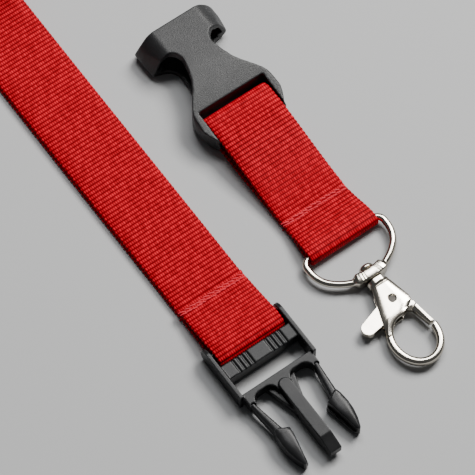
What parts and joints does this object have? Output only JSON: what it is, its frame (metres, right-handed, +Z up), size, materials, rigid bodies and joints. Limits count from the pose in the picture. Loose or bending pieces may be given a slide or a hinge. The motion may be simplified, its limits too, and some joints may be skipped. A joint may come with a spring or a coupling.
{
  "type": "neck lanyard",
  "caption": "Flat woven neck lanyard with a side-release buckle; the socket half is on a short strap that ends in a D-ring and a swivel lobster hook. Shown released and laid flat.",
  "frame": {"origin": "on the table under the middle of the whole layout", "axes": "+X along the straps towards the buckle's prongs, +Y across them towards the short strap, +Z up from the table"},
  "size_m": [0.193, 0.0616, 0.035],
  "materials": {
    "webbing": "woven polyester, ribbed",
    "thread": "polyester thread",
    "black_plastic": "satin acetal",
    "nickel": "polished nickel plate",
    "spring_steel": "bare"
  },
  "bodies": {
    "neck": {"neck_strap": "webbing", "neck_seam_thread": "thread"},
    "pronged_half": {"male_frame": "black_plastic"},
    "left_arm": {"latch_arm_left": "black_plastic"},
    "right_arm": {"latch_arm_right": "black_plastic"},
    "short": {"short_strap": "webbing", "short_seam_thread": "thread"},
    "socket_half": {"female_shell": "black_plastic"},
    "ring": {"d_ring": "nickel"},
    "hook": {"hook_body": "nickel", "swivel_rivet": "nickel", "gate_pin": "spring_steel", "gate_spring": "spring_steel"},
    "gate": {"gate_lever": "nickel"}
  },
  "joints": [
    {"name": "pronged_half_hinge", "type": "hinge", "parent": "neck", "child": "pronged_half", "pos_m": [0.0574, -0.01898, 0.0029], "axis": [0, -1, 0], "range_deg": [-100, 100]},
    {"name": "left_arm_flex", "type": "hinge", "parent": "pronged_half", "child": "left_arm", "pos_m": [0.0749, -0.02878, 0.0029], "axis": [0, 0, 1], "range_deg": [0, 7], "stiffness_Nm_per_rad": 0.1},
    {"name": "right_arm_flex", "type": "hinge", "parent": "pronged_half", "child": "right_arm", "pos_m": [0.0749, -0.00918, 0.0029], "axis": [0, 0, -1], "range_deg": [0, 7], "stiffness_Nm_per_rad": 0.1},
    {"name": "short_group_lift", "type": "slide", "parent": "neck", "child": "short", "axis": [0, 0, 1], "range_m": [0, 0.05]},
    {"name": "socket_half_hinge", "type": "hinge", "parent": "short", "child": "socket_half", "pos_m": [0.0083, 0.01752, 0.0039], "axis": [0, 1, 0], "range_deg": [-100, 100]},
    {"name": "ring_hinge", "type": "hinge", "parent": "short", "child": "ring", "pos_m": [0.049, 0.01752, 0.0023], "axis": [0, -1, 0], "range_deg": [-100, 100]},
    {"name": "hook_swivel", "type": "hinge", "parent": "ring", "child": "hook", "pos_m": [0.062, 0.01752, 0.0023], "axis": [1, 0, 0], "continuous": true},
    {"name": "gate_hinge", "type": "hinge", "parent": "hook", "child": "gate", "pos_m": [0.071, 0.01752, 0.0023], "axis": [0, 0, -1], "range_deg": [0, 22], "stiffness_Nm_per_rad": 0.02}
  ]
}
